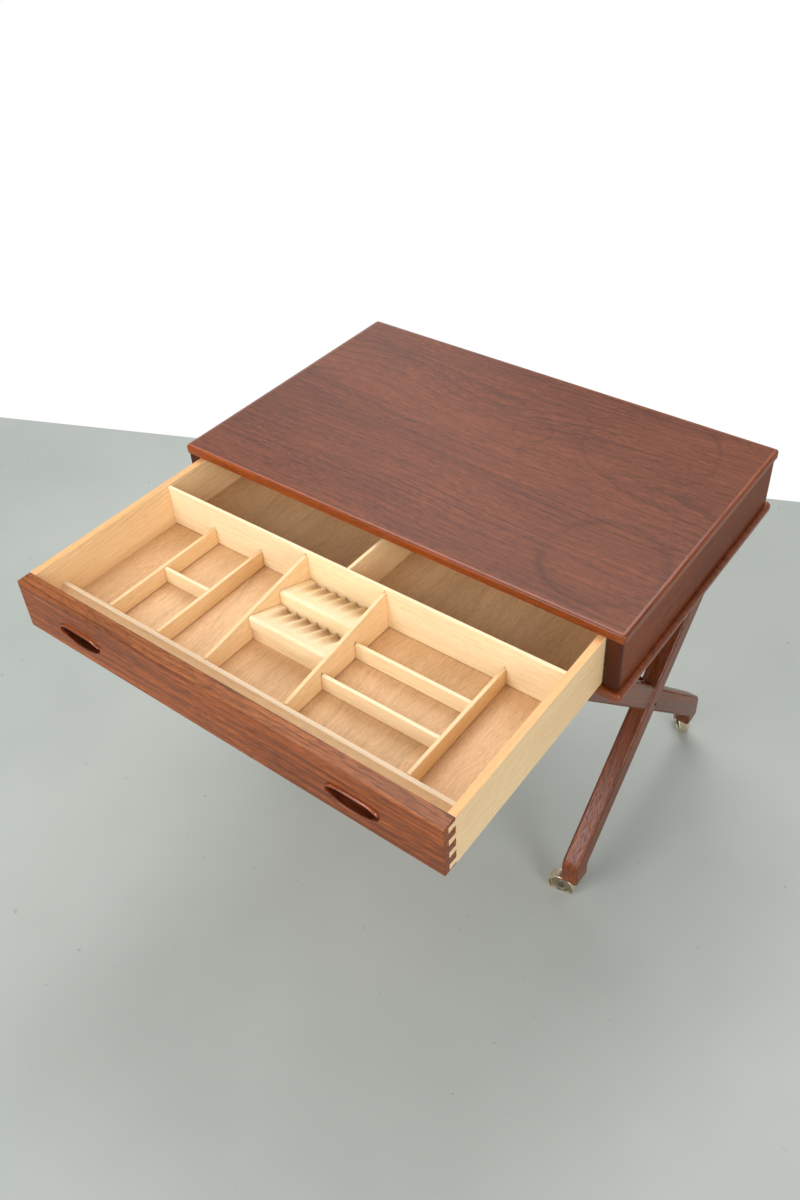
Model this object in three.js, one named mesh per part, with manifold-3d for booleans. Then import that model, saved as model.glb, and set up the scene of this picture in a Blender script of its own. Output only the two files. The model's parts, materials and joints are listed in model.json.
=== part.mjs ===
// A Danish-style teak sewing table: a shallow case with one wide partitioned drawer, carried by two
// X-shaped leg frames on hooded castors. Millimetres, +Z up.
// The model is built in a "table" group whose origin is on the floor, below the middle of the tabletop's
// front edge, with +X to the right and +Y to the back. The exported group moves it so that the origin
// ends up below the middle of the whole opened table.
import * as THREE from "three";
import { mergeVertices } from "three/addons/utils/BufferGeometryUtils.js";
import Module from "manifold-3d";

const wasm = await Module();
wasm.setup();

// ---------- driving dimensions ----------
const TABLE_HEIGHT = 590;

const TOP = { width: 700, depth: 445, thickness: 14, lip: 6, cornerRadius: 5, edgeRound: 3 };

const CASE = {
  sideInner: 326.5, // from the middle to a side panel's inner face
  sideThickness: 20.5,
  sideFront: 1, // the side panels' front edge, behind the tabletop's front edge
  rear: 441,
  opening: 77, // clear height between the bottom board and the top
  backThickness: 12,
  frontEdgeRound: 4,
};

const BOTTOM = { halfWidth: 354, front: -6, rear: 449, thickness: 13, cornerRadius: 8, edgeRound: 4 };

const DRAWER = {
  open: 317.7, // how far the drawer stands open
  halfWidth: 325.5,
  length: 420,
  frontThickness: 20.4,
  sideThickness: 10,
  backThickness: 10,
  topGap: 1,
  bottomGap: 0.8,
  floorDrop: 80, // the drawer's floor, below the tabletop's surface
  floorThickness: 4,
  floorGroove: 4,
};

const TAIL = { count: 4, lap: 8, tip: 9.6, root: 8, pitch: 20.1, firstDrop: 3.4, gap: 0.15 };

const DIVIDER = {
  thickness: 5,
  lowHeight: 27,
  crossHeight: 25,
  wallFront: 246, // the cross wall's front face, behind the drawer's face
  wallHeight: 63,
  tallRear: 58,
  tallFront: 28.5,
  rearHeight: 60,
};

// The middles of the dividers that run front to back, left to right.
const DIVIDER_X = { first: -232.5, second: -147, third: -64, fourth: 63.5, sixth: 236.5 };
// The front faces of the dividers that run left to right, behind the drawer's face.
const CROSS_Y = { left: 149, rightRear: 179.5, rightFront: 117.5 };

const TROUGH = { rear: 58.5, land: 6, frontLand: 2.6, landHeight: 27.5, bottomHeight: 14, wallTop: 50 };

const SPOOL = {
  front: 132.5,
  depth: 55.8,
  gap: 1,
  frontHeight: 38.5,
  rearHeight: 18.5,
  foot: { step: 3, height: 22 },
  grooves: 6,
  firstGroove: 9.5,
  groovePitch: 16.6,
  grooveDepth: 6,
  grooveRadius: 7.6, // at the rest's back edge
  plainFront: 8,
};

const PULL = {
  middles: { left: -220, right: 208 },
  drop: 57, // the pull's widest line, below the tabletop's surface
  width: 73,
  rise: 12.5,
  fall: 18,
  depth: 14,
  lipProud: 3.4,
  lipThickness: 3.6,
  wall: 1.2,
  gap: 0.2,
};

const FRAME = {
  outer: 310, // from the middle to a leg frame's outer face
  thickness: 25,
  legWidth: 37,
  crossDrop: 325.5, // the crossing's middle, below the tabletop's surface
  footReach: 205, // from the crossing to a foot's outer edge
  footLength: 34,
  topReach: 222, // from the crossing to the vertical cut at a leg's upper end
  kneeRadius: 22,
  footFillet: 12,
  edgeRound: 4,
  proud: 2, // how far the leg that falls to the front stands out at the crossing
  railHeight: 28,
  gap: 0.3,
};

const STRETCHER = { height: 48, thickness: 20, edgeRound: 3 };

const CASTOR = {
  height: 44.5,
  trail: 15.5,
  wheelRadius: 17.5,
  wheelHalfWidth: 6,
  hoodRadius: 20,
  hoodOpenSide: -9,
  hoodBack: 10,
  shell: 1.6,
  hoodFoot: 5,
  collarFoot: 25,
  axleRadius: 3,
  clearance: 0.25,
  stemRadius: 4,
  stemTop: 62,
  plateRadius: 12,
  plateThickness: 2.5,
  collarRadius: 8,
};

// Each castor's turn about its stem, in degrees, as it was left standing.
const CASTOR_TURN = { front_right: 9, rear_right: -52, front_left: 24, rear_left: -38 };

const ROUND_STEPS = 20;

// ---------- derived heights and places ----------
const topUnder = TABLE_HEIGHT - TOP.thickness;
const bottomTop = topUnder - CASE.opening;
const bottomUnder = bottomTop - BOTTOM.thickness;
const sideOuter = CASE.sideInner + CASE.sideThickness;
const drawerTop = topUnder - DRAWER.topGap;
const drawerUnder = bottomTop + DRAWER.bottomGap;
const drawerFloor = TABLE_HEIGHT - DRAWER.floorDrop;
const drawerFace = CASE.sideFront - DRAWER.open;
const innerHalf = DRAWER.halfWidth - DRAWER.sideThickness;
const wallRear = DIVIDER.wallFront + DIVIDER.thickness;
const drawerBackFront = DRAWER.length - DRAWER.backThickness;
const crossY = TOP.depth / 2;
const crossZ = TABLE_HEIGHT - FRAME.crossDrop;
const frameInner = FRAME.outer - FRAME.thickness;
const openedMiddle = (drawerFace - PULL.lipProud + BOTTOM.rear) / 2;

// ---------- materials ----------
const finish = (color, roughness, metalness = 0) =>
  new THREE.MeshStandardMaterial({ color, roughness, metalness });
const teakTop = finish(0x8a4a38, 0.4);
const teakLip = finish(0xa04a22, 0.4);
const teakCase = finish(0x7d4330, 0.45);
const teakFront = finish(0x94543a, 0.45);
const teakLeg = finish(0x7a3d28, 0.4);
const pullWood = finish(0x5a1d10, 0.25);
const beech = finish(0xe6bf85, 0.55);
const plywood = finish(0xc69a70, 0.6);
const castorShell = finish(0xd9c7a0, 0.35, 0.6);
const castorSteel = finish(0x9a9488, 0.4, 0.9);
const castorTread = finish(0x4d4a40, 0.6);

// ---------- geometry helpers ----------
// ExtrudeGeometry draws in its own XY plane and extrudes along its Z. These turn that plane to face
// along the table's X (outline in Y and Z) or along its -Y (outline in X and Z).
const faceX = new THREE.Matrix4().makeBasis(
  new THREE.Vector3(0, 1, 0),
  new THREE.Vector3(0, 0, 1),
  new THREE.Vector3(1, 0, 0),
);
const faceY = new THREE.Matrix4().makeBasis(
  new THREE.Vector3(1, 0, 0),
  new THREE.Vector3(0, 0, 1),
  new THREE.Vector3(0, -1, 0),
);

// A geometry as a manifold-3d solid.
function solid(geometry) {
  const bare = geometry.index ? geometry.toNonIndexed() : geometry.clone();
  bare.deleteAttribute("normal");
  bare.deleteAttribute("uv");
  const merged = mergeVertices(bare, 1e-4);
  return new wasm.Manifold(
    new wasm.Mesh({
      numProp: 3,
      vertProperties: merged.attributes.position.array,
      triVerts: new Uint32Array(merged.index.array),
    }),
  );
}

// A manifold-3d solid as a geometry.
function geometryOf(made) {
  const mesh = made.getMesh();
  return new THREE.BufferGeometry()
    .setAttribute("position", new THREE.BufferAttribute(new Float32Array(mesh.vertProperties), 3))
    .setIndex(new THREE.BufferAttribute(new Uint32Array(mesh.triVerts), 1));
}

function box(x0, x1, y0, y1, z0, z1) {
  const shape = new THREE.BoxGeometry(x1 - x0, y1 - y0, z1 - z0);
  return shape.translate((x0 + x1) / 2, (y0 + y1) / 2, (z0 + z1) / 2);
}

// Extrudes a shape by depth, with its end edges rounded inside the outline and the depth.
function extrude(shape, depth, round = 0, curveSegments = 4) {
  return new THREE.ExtrudeGeometry(shape, {
    depth: depth - 2 * round,
    bevelEnabled: round > 0,
    bevelThickness: round,
    bevelSize: round,
    bevelOffset: -round,
    bevelSegments: 2,
    curveSegments,
  }).translate(0, 0, round);
}

// An outline in Y and Z, extruded from x0 to x1.
const alongX = (shape, x0, x1, round, curveSegments) =>
  extrude(shape, x1 - x0, round, curveSegments).applyMatrix4(faceX).translate(x0, 0, 0);

// An outline in X and Z, extruded from y1 forwards to y0.
const alongY = (shape, y0, y1, round, curveSegments) =>
  extrude(shape, y1 - y0, round, curveSegments).applyMatrix4(faceY).translate(0, y1, 0);

// A closed outline through the given points, with the corners that carry a third value rounded to it.
function outline(corners) {
  const shape = new THREE.Shape();
  const point = (i) => new THREE.Vector2(...corners.at(i % corners.length).slice(0, 2));
  corners.forEach(([x, y, radius = 0], i) => {
    const here = new THREE.Vector2(x, y);
    const before = point(i - 1 + corners.length).sub(here);
    const after = point(i + 1).sub(here);
    const half = before.angleTo(after) / 2;
    const setback = radius / Math.tan(half);
    const start = before.normalize().multiplyScalar(setback).add(here);
    const end = after.normalize().multiplyScalar(setback).add(here);
    if (i === 0) shape.moveTo(start.x, start.y);
    else shape.lineTo(start.x, start.y);
    if (radius > 0) shape.quadraticCurveTo(x, y, end.x, end.y);
  });
  shape.closePath();
  return shape;
}

const rectangle = (x0, x1, y0, y1, radius) =>
  outline([
    [x0, y0, radius],
    [x1, y0, radius],
    [x1, y1, radius],
    [x0, y1, radius],
  ]);

// A flat board with rounded corners in plan and softened top and bottom edges.
const board = (x0, x1, y0, y1, z0, z1, radius, round) =>
  extrude(rectangle(x0, x1, y0, y1, radius), z1 - z0, round).translate(0, 0, z0);

// A body turned about the Y axis through the origin, from points [radius, y].
function turned(profile, steps = ROUND_STEPS) {
  return new THREE.LatheGeometry(
    profile.map(([r, y]) => new THREE.Vector2(r, y)),
    steps,
  );
}

function piece(group, name, geometry, material) {
  const mesh = new THREE.Mesh(geometry, material);
  mesh.name = name;
  group.add(mesh);
}

// ---------- the tabletop: a veneered panel with a solid lipping all round ----------
function addTop(group) {
  const half = TOP.width / 2;
  const inner = half - TOP.lip;
  const rear = TOP.depth - TOP.lip;
  const whole = () =>
    solid(board(-half, half, 0, TOP.depth, topUnder, TABLE_HEIGHT, TOP.cornerRadius, TOP.edgeRound));
  const cut = (x0, x1, y0, y1) => {
    const window = solid(box(x0, x1, y0, y1, topUnder - 1, TABLE_HEIGHT + 1));
    return geometryOf(whole().intersect(window));
  };
  const past = half + 1;
  piece(group, "top_panel", box(-inner, inner, TOP.lip, rear, topUnder, TABLE_HEIGHT), teakTop);
  piece(group, "top_lip_front", cut(-past, past, -1, TOP.lip), teakLip);
  piece(group, "top_lip_back", cut(-past, past, rear, TOP.depth + 1), teakLip);
  piece(group, "top_lip_left", cut(-past, -inner, TOP.lip, rear), teakLip);
  piece(group, "top_lip_right", cut(inner, past, TOP.lip, rear), teakLip);
}

// ---------- the case: two side panels, a back and a projecting bottom board ----------
function addCase(group) {
  for (const [name, side] of [["left", -1], ["right", 1]]) {
    const near = side * CASE.sideInner;
    const far = side * sideOuter;
    const [x0, x1] = [Math.min(near, far), Math.max(near, far)];
    const plan = outline([
      [x0, CASE.sideFront, CASE.frontEdgeRound],
      [x1, CASE.sideFront, CASE.frontEdgeRound],
      [x1, CASE.rear, 2],
      [x0, CASE.rear, 0],
    ]);
    piece(group, `side_panel_${name}`, extrude(plan, CASE.opening).translate(0, 0, bottomTop), teakCase);
  }
  const inner = CASE.sideInner;
  const backFront = CASE.rear - CASE.backThickness;
  piece(group, "back_panel", box(-inner, inner, backFront, CASE.rear, bottomTop, topUnder), teakCase);
  const { halfWidth, front, rear, cornerRadius, edgeRound } = BOTTOM;
  const bottom = board(-halfWidth, halfWidth, front, rear, bottomUnder, bottomTop, cornerRadius, edgeRound);
  piece(group, "bottom_board", bottom, teakCase);
}

// ---------- the drawer, in a group whose origin is on the drawer's face ----------
const tailTop = (i, inset) => drawerTop - TAIL.firstDrop - i * TAIL.pitch - inset;

// The outline of one dovetail in Y and Z, grown by a gap to make its socket.
function tailOutline(i, gap) {
  const top = tailTop(i, 0);
  const middle = top - TAIL.tip / 2;
  const tip = TAIL.tip / 2 + gap;
  const root = TAIL.root / 2 + gap;
  return [
    [DRAWER.frontThickness + 1, middle + root],
    [TAIL.lap - gap, middle + tip],
    [TAIL.lap - gap, middle - tip],
    [DRAWER.frontThickness + 1, middle - root],
  ];
}

// The eyelid outline of a pull in X and Z: a nearly straight upper edge and a round lower one.
function pullOutline(x, z, grow) {
  const half = PULL.width / 2 + grow;
  const up = PULL.rise + grow;
  const down = PULL.fall + grow;
  const shape = new THREE.Shape();
  shape.moveTo(x - half, z);
  shape.bezierCurveTo(x - half * 0.98, z - down * 1.05, x - half * 0.45, z - down, x, z - down);
  shape.bezierCurveTo(x + half * 0.45, z - down, x + half * 0.98, z - down * 1.05, x + half, z);
  shape.bezierCurveTo(x + half * 0.95, z + up * 0.9, x + half * 0.6, z + up, x, z + up);
  shape.bezierCurveTo(x - half * 0.6, z + up, x - half * 0.95, z + up * 0.9, x - half, z);
  return shape;
}

const ellipsoid = (x, y, z, rx, ry, rz, steps = 16) =>
  new THREE.SphereGeometry(1, steps, steps / 2).scale(rx, ry, rz).translate(x, y, z);

function addDrawerFront(group) {
  const { halfWidth, frontThickness } = DRAWER;
  let front = solid(box(-halfWidth, halfWidth, 0, frontThickness, drawerUnder, drawerTop));
  const inside = innerHalf - TAIL.gap;
  for (let i = 0; i < TAIL.count; i += 1) {
    const socket = outline(tailOutline(i, TAIL.gap));
    front = front.subtract(solid(alongX(socket, inside, halfWidth + 1)));
    front = front.subtract(solid(alongX(socket, -halfWidth - 1, -inside)));
  }
  const pullZ = TABLE_HEIGHT - PULL.drop;
  for (const x of Object.values(PULL.middles)) {
    const hole = alongY(pullOutline(x, pullZ, PULL.gap), -1, PULL.depth + PULL.gap);
    front = front.subtract(solid(hole));
  }
  piece(group, "drawer_front", geometryOf(front), teakFront);
}

// An inlaid pull: a plug with a scooped finger recess under a lip that stands proud.
function addPull(group, name, x) {
  const z = TABLE_HEIGHT - PULL.drop;
  const half = PULL.width / 2;
  const lipHalf = PULL.lipThickness / 2;
  const lipMiddle = z + PULL.rise - lipHalf;
  const scoopTop = z + PULL.rise - PULL.lipThickness + PULL.wall;
  const scoopFoot = z - PULL.fall + PULL.wall;
  const plug = solid(alongY(pullOutline(x, z, 0), 0, PULL.depth, 0, 4));
  const proud = solid(box(x - half, x + half, -2 * PULL.lipProud, 0, z - half, z + half));
  const lip = solid(ellipsoid(x, 0, lipMiddle, half - 2, PULL.lipProud, lipHalf)).intersect(proud);
  const scoop = solid(
    ellipsoid(x, 0, (scoopTop + scoopFoot) / 2, half - 2.5, PULL.depth - 2, (scoopTop - scoopFoot) / 2),
  );
  piece(group, name, geometryOf(plug.add(lip).subtract(scoop)), pullWood);
}

function addDrawerSide(group, name, side) {
  const tails = [];
  for (let i = 0; i < TAIL.count; i += 1) {
    const points = tailOutline(i, 0);
    points[0][0] = DRAWER.frontThickness;
    points[3][0] = DRAWER.frontThickness;
    tails.push(...points);
  }
  const edge = outline([
    [DRAWER.length, drawerUnder],
    [DRAWER.length, drawerTop],
    [DRAWER.frontThickness, drawerTop],
    ...tails,
    [DRAWER.frontThickness, drawerUnder],
  ]);
  const near = side * innerHalf;
  const far = side * DRAWER.halfWidth;
  const made = solid(alongX(edge, Math.min(near, far), Math.max(near, far)));
  const deep = side * (innerHalf + DRAWER.floorGroove + 0.2);
  const groove = box(
    Math.min(deep, near - side),
    Math.max(deep, near - side),
    DRAWER.frontThickness - 1,
    DRAWER.length + 1,
    drawerFloor - DRAWER.floorThickness - 0.1,
    drawerFloor + 0.1,
  );
  piece(group, name, geometryOf(made.subtract(solid(groove))), beech);
}

// The moulding behind the drawer front: a high thin edge against the front, a cove that holds needles
// and a flat land level with the low dividers.
function addTrough(group) {
  const front = DRAWER.frontThickness;
  const landFront = TROUGH.rear - TROUGH.land;
  const base = drawerFloor;
  const land = base + TROUGH.landHeight;
  const bottom = base + TROUGH.bottomHeight;
  const brow = base + TROUGH.wallTop;
  const edge = front + TROUGH.frontLand;
  const lowest = (edge + landFront) / 2 + 2;
  const shape = new THREE.Shape();
  shape.moveTo(front, base);
  shape.lineTo(TROUGH.rear, base);
  shape.lineTo(TROUGH.rear, land);
  shape.lineTo(landFront, land);
  shape.quadraticCurveTo(landFront - 6, bottom, lowest, bottom);
  shape.quadraticCurveTo(edge + 2, bottom, edge, brow);
  shape.lineTo(front, brow);
  shape.closePath();
  piece(group, "needle_trough", alongX(shape, -innerHalf, innerHalf, 0, 6), beech);
}

// A spool rest: a wedge that slopes down to the back, its top scalloped by grooves that deepen backwards.
function spoolRest(y0) {
  const { depth, frontHeight, rearHeight, foot, grooves, groovePitch, plainFront } = SPOOL;
  const left = DIVIDER_X.third + DIVIDER.thickness / 2;
  const right = DIVIDER_X.fourth - DIVIDER.thickness / 2;
  const wedge = new THREE.Shape();
  wedge.moveTo(y0 + foot.step, drawerFloor);
  wedge.lineTo(y0 + depth, drawerFloor);
  wedge.lineTo(y0 + depth, drawerFloor + rearHeight);
  wedge.lineTo(y0, drawerFloor + frontHeight);
  wedge.lineTo(y0, drawerFloor + foot.height);
  wedge.lineTo(y0 + foot.step, drawerFloor + foot.height);
  wedge.closePath();
  let rest = solid(alongX(wedge, left, right));
  // A groove is a cone along the slope, its point near the front edge and its base a little past the back.
  const past = 1.1;
  const run = (depth - plainFront) * past;
  const radius = SPOOL.grooveRadius * past;
  const slope = (frontHeight - rearHeight) / depth;
  const tilt = Math.atan((radius - SPOOL.grooveDepth * past) / run - slope);
  const pointAbove = 0.4;
  const pointZ = drawerFloor + frontHeight - slope * plainFront + pointAbove;
  for (let i = 0; i < grooves; i += 1) {
    const x = left + SPOOL.firstGroove + (i + 0.5) * groovePitch;
    const cone = new THREE.ConeGeometry(radius, run, 10)
      .rotateX(Math.PI)
      .translate(0, run / 2, 0)
      .rotateX(tilt)
      .translate(x, y0 + plainFront, pointZ);
    rest = rest.subtract(solid(cone));
  }
  return geometryOf(rest);
}

function addPartitions(group) {
  const half = DIVIDER.thickness / 2;
  const front = TROUGH.rear;
  const rear = DIVIDER.wallFront;
  const low = drawerFloor + DIVIDER.lowHeight;
  const wallTop = drawerFloor + DIVIDER.wallHeight;
  piece(group, "cross_wall", box(-innerHalf, innerHalf, rear, wallRear, drawerFloor, wallTop), beech);
  for (const name of ["first", "second", "sixth"]) {
    const x = DIVIDER_X[name];
    piece(group, `divider_${name}`, box(x - half, x + half, front, rear, drawerFloor, low), beech);
  }
  for (const name of ["third", "fourth"]) {
    const x = DIVIDER_X[name];
    const shape = outline([
      [front, drawerFloor],
      [rear, drawerFloor],
      [rear, drawerFloor + DIVIDER.tallRear],
      [front, drawerFloor + DIVIDER.tallFront],
    ]);
    piece(group, `divider_${name}`, alongX(shape, x - half, x + half), beech);
  }
  const crossTop = drawerFloor + DIVIDER.crossHeight;
  const across = (name, from, to, y) => {
    const [x0, x1] = [DIVIDER_X[from] + half, DIVIDER_X[to] - half];
    piece(group, name, box(x0, x1, y, y + DIVIDER.thickness, drawerFloor, crossTop), beech);
  };
  across("cross_divider_left", "first", "second", CROSS_Y.left);
  across("cross_divider_right_rear", "fourth", "sixth", CROSS_Y.rightRear);
  across("cross_divider_right_front", "fourth", "sixth", CROSS_Y.rightFront);
  const rearTop = drawerFloor + DIVIDER.rearHeight;
  piece(group, "rear_divider", box(-half, half, wallRear, drawerBackFront, drawerFloor, rearTop), beech);
  piece(group, "spool_rest_front", spoolRest(SPOOL.front), beech);
  piece(group, "spool_rest_rear", spoolRest(SPOOL.front + SPOOL.depth + SPOOL.gap), beech);
}

function addDrawer(group) {
  addDrawerFront(group);
  for (const [side, x] of Object.entries(PULL.middles)) addPull(group, `pull_${side}`, x);
  addDrawerSide(group, "drawer_side_left", -1);
  addDrawerSide(group, "drawer_side_right", 1);
  const { length, frontThickness, floorThickness, floorGroove } = DRAWER;
  const backTop = drawerFloor + DIVIDER.wallHeight;
  const back = box(-innerHalf, innerHalf, drawerBackFront, length, drawerFloor, backTop);
  piece(group, "drawer_back", back, beech);
  const floorHalf = innerHalf + floorGroove;
  const under = drawerFloor - floorThickness;
  const floor = box(-floorHalf, floorHalf, frontThickness, length, under, drawerFloor);
  piece(group, "drawer_floor", floor, plywood);
  addTrough(group);
  addPartitions(group);
}

// ---------- the leg frames ----------
// A leg's outline in Y and Z, for the leg that falls towards the given direction of Y.
function legOutline(towards) {
  const w = (FRAME.legWidth / 2) * Math.SQRT2;
  const { footReach, footLength, topReach, kneeRadius, footFillet } = FRAME;
  const topZ = bottomUnder - crossZ;
  const footZ = CASTOR.height - crossZ;
  const inside = footReach - footLength;
  const corners = [
    [-footReach, footZ],
    [-inside, footZ],
    [-inside, -inside - w, footFillet],
    [topReach, topReach - w],
    [topReach, topZ],
    [topZ - w, topZ],
    [-footReach, -footReach + w, kneeRadius],
  ];
  const placed = corners.map(([y, z, radius]) => [crossY - towards * y, crossZ + z, radius]);
  return outline(towards < 0 ? placed : placed.reverse());
}

// One frame: the outer leg falls to the front and the inner leg to the back, halved into each other.
function addFrame(group, name, side) {
  const near = side * frameInner;
  const far = side * FRAME.outer;
  const middle = (near + far) / 2;
  const [x0, x1] = [Math.min(near, far), Math.max(near, far)];
  const leg = (towards, face) =>
    solid(alongX(legOutline(towards), Math.min(near, face), Math.max(near, face), FRAME.edgeRound, 5));
  // The room that the crossing leg takes, as a prism turned to that leg's slope.
  const housing = (turn, from, to) =>
    solid(
      new THREE.BoxGeometry(Math.abs(to - from), 4 * FRAME.legWidth, FRAME.legWidth + 2 * FRAME.gap)
        .rotateX(turn)
        .translate((from + to) / 2, crossY, crossZ),
    );
  const holeRadius = CASTOR.stemRadius + CASTOR.clearance;
  const holeTop = CASTOR.stemTop + CASTOR.clearance;
  const holeLength = 40; // starts below the foot
  const stemHole = (y) =>
    solid(
      new THREE.CylinderGeometry(holeRadius, holeRadius, holeLength, 12)
        .rotateX(Math.PI / 2)
        .translate(middle, y, holeTop - holeLength / 2),
    );
  const [yFront, yRear] = castorRows();
  const halfGap = (side * FRAME.gap) / 2;
  const toFront = leg(-1, far + side * FRAME.proud)
    .subtract(housing(-Math.PI / 4, near - side, middle + halfGap))
    .subtract(stemHole(yFront));
  const toRear = leg(1, far)
    .subtract(housing(Math.PI / 4, middle - halfGap, far + side))
    .subtract(stemHole(yRear));
  piece(group, `leg_to_front_${name}`, geometryOf(toFront), teakLeg);
  piece(group, `leg_to_rear_${name}`, geometryOf(toRear), teakLeg);

  const w = (FRAME.legWidth / 2) * Math.SQRT2 + FRAME.gap;
  const topZ = bottomUnder - crossZ;
  const lowZ = topZ - FRAME.railHeight;
  const rail = outline([
    [crossY - lowZ + w, crossZ + lowZ],
    [crossY + lowZ - w, crossZ + lowZ],
    [crossY + topZ - w, crossZ + topZ],
    [crossY - topZ + w, crossZ + topZ],
  ]);
  piece(group, `frame_rail_${name}`, alongX(rail, x0, x1), teakLeg);
}

function addStretcher(group) {
  const { height, thickness, edgeRound } = STRETCHER;
  const half = thickness / 2;
  const shape = rectangle(crossY - half, crossY + half, crossZ - height / 2, crossZ + height / 2, edgeRound);
  piece(group, "stretcher", alongX(shape, -frameInner, frameInner, 0, 3), teakLeg);
}

// ---------- the castors ----------
function castorRows() {
  const inset = FRAME.footReach - FRAME.footLength / 2;
  return [crossY - inset, crossY + inset];
}

// The hood: a bowl round the axle, open towards -Y and cut off above the floor, with a collar and a stem.
function castorHood() {
  const { trail, wheelRadius, hoodRadius: outer, hoodOpenSide: open, hoodBack: back, shell } = CASTOR;
  const { clearance, axleRadius, collarRadius, stemRadius, stemTop } = CASTOR;
  const inner = outer - shell;
  const hole = axleRadius + clearance;
  const bowl = [
    [0, open],
    [outer, open],
    [outer + 0.8, open + 0.8],
    [outer, open + 1.6],
    [outer, back - 5],
    [outer - 1.4, back - 1.6],
    [outer - 5, back],
    [0, back],
  ];
  const hollow = [
    [0, open - 1],
    [inner, open - 1],
    [inner, back - 5.2],
    [inner - 1, back - 2.9],
    [inner - 4, back - shell],
    [hole, back - shell],
    [hole, back + 1],
    [0, back + 1],
  ];
  const round = (profile) => solid(turned(profile)).translate([-trail, 0, wheelRadius]);
  const post = (radius, z0, z1) =>
    solid(
      new THREE.CylinderGeometry(radius, radius, z1 - z0, 14)
        .rotateX(Math.PI / 2)
        .translate(0, 0, (z0 + z1) / 2),
    );
  const collarTop = CASTOR.height - CASTOR.plateThickness - clearance;
  const collar = post(collarRadius, CASTOR.collarFoot, collarTop);
  const stem = post(stemRadius, CASTOR.collarFoot + 5, stemTop);
  const below = solid(box(-60, 60, -60, 60, -20, CASTOR.hoodFoot));
  return geometryOf(round(bowl).add(collar).add(stem).subtract(round(hollow)).subtract(below));
}

// The wheel: a disc with rounded edges and dished faces, turned about the axle.
function castorWheel() {
  const { wheelRadius: r, wheelHalfWidth: w, axleRadius, clearance } = CASTOR;
  const bore = axleRadius + clearance;
  const profile = [
    [bore, -w],
    [bore + 3, -w],
    [bore + 4, -w + 2.5],
    [r - 4, -w + 2.5],
    [r - 3, -w],
    [r - 1.2, -w + 0.5],
    [r, -w + 2.5],
    [r, w - 2.5],
    [r - 1.2, w - 0.5],
    [r - 3, w],
    [bore, w],
    [bore, -w],
  ];
  return turned(profile, 24).translate(-CASTOR.trail, 0, r);
}

function castorAxle() {
  const { axleRadius, hoodBack, wheelHalfWidth, wheelRadius, trail } = CASTOR;
  const head = -wheelHalfWidth - 0.4;
  const profile = [
    [0, head - 1.6],
    [axleRadius + 1.6, head - 1.6],
    [axleRadius + 1.6, head],
    [axleRadius, head],
    [axleRadius, hoodBack - 0.3],
    [0, hoodBack - 0.3],
  ];
  return turned(profile, 12).translate(-trail, 0, wheelRadius);
}

function castorPlate() {
  const { height, plateRadius, plateThickness, stemRadius, clearance } = CASTOR;
  const bore = stemRadius + clearance;
  const profile = [
    [bore, 0],
    [plateRadius - 0.8, 0],
    [plateRadius, 0.8],
    [plateRadius, plateThickness],
    [bore, plateThickness],
    [bore, 0],
  ];
  return turned(profile).rotateX(Math.PI / 2).translate(0, 0, height - plateThickness);
}

function addCastors(table) {
  const [yFront, yRear] = castorRows();
  const x = (frameInner + FRAME.outer) / 2;
  const places = {
    front_right: [x, yFront],
    rear_right: [x, yRear],
    front_left: [-x, yFront],
    rear_left: [-x, yRear],
  };
  for (const [corner, [cx, cy]] of Object.entries(places)) {
    const castor = new THREE.Group();
    castor.position.set(cx, cy, 0);
    castor.rotation.z = THREE.MathUtils.degToRad(CASTOR_TURN[corner]);
    piece(castor, `castor_plate_${corner}`, castorPlate(), castorSteel);
    piece(castor, `castor_hood_${corner}`, castorHood(), castorShell);
    piece(castor, `castor_wheel_${corner}`, castorWheel(), castorTread);
    piece(castor, `castor_axle_${corner}`, castorAxle(), castorSteel);
    table.add(castor);
  }
}

// ---------- assembly ----------
const table = new THREE.Group();
addTop(table);
addCase(table);
const drawer = new THREE.Group();
drawer.position.y = drawerFace;
addDrawer(drawer);
table.add(drawer);
addFrame(table, "left", -1);
addFrame(table, "right", 1);
addStretcher(table);
addCastors(table);
table.position.y = -openedMiddle;

const sewingTable = new THREE.Group();
sewingTable.add(table);

export default sewingTable;
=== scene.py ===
import json
import math

import bmesh
import bpy
from mathutils import Matrix, Vector


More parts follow.
